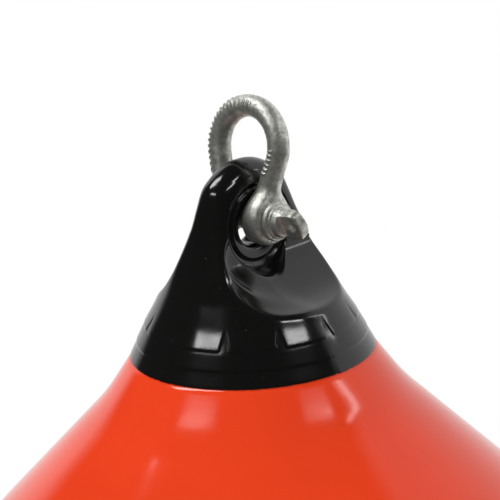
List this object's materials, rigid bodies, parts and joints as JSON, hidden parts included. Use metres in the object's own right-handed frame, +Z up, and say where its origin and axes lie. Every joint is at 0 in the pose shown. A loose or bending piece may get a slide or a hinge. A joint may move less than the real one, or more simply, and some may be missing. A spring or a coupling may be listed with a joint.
{
  "type": "marker buoy",
  "caption": "Inflated marker buoy with a moulded rope-eye head over its neck, a screw-pin shackle through the eye and a screw plug in its air valve.",
  "frame": {"origin": "where a rope or a second shackle bears on the inside of the bow's crown", "axes": "+Z up, away from the float; X along the shackle's pin, +X towards the pin's paddle"},
  "size_m": [0.445, 0.4449, 0.6223],
  "materials": {
    "red_vinyl": "gloss",
    "black_vinyl": "gloss",
    "galvanised_steel": "hot-dip galvanised",
    "valve_plastic": "satin",
    "seal_rubber": "matte"
  },
  "bodies": {
    "shackle": {"shackle_bow": "galvanised_steel"},
    "buoy": {"float_body": "red_vinyl", "eye_head": "black_vinyl", "valve_seat": "valve_plastic"},
    "pin": {"shackle_pin": "galvanised_steel"},
    "seal": {"valve_o_ring": "seal_rubber"},
    "plug": {"valve_screw": "valve_plastic"}
  },
  "joints": [
    {"name": "shackle_swing", "type": "hinge", "parent": "shackle", "child": "buoy", "pos_m": [0, -0.01017, -0.05487], "axis": [1, 0, 0], "range_deg": [-112, 91]},
    {"name": "pin_turn", "type": "hinge", "parent": "shackle", "child": "pin", "pos_m": [0, -0.01017, -0.05487], "axis": [1, 0, 0], "range_deg": [0, 1980]},
    {"name": "plug_travel", "type": "slide", "parent": "buoy", "child": "seal", "axis": [0, 0, -1], "range_m": [0, 0.0105]},
    {"name": "plug_turn", "type": "hinge", "parent": "seal", "child": "plug", "pos_m": [0, -0.01017, -0.6], "axis": [0, 0, -1], "range_deg": [0, 2520]}
  ],
  "couplings": [
    {"joint": "plug_turn", "follows": "plug_travel", "rad_per_m": 4188.8}
  ]
}
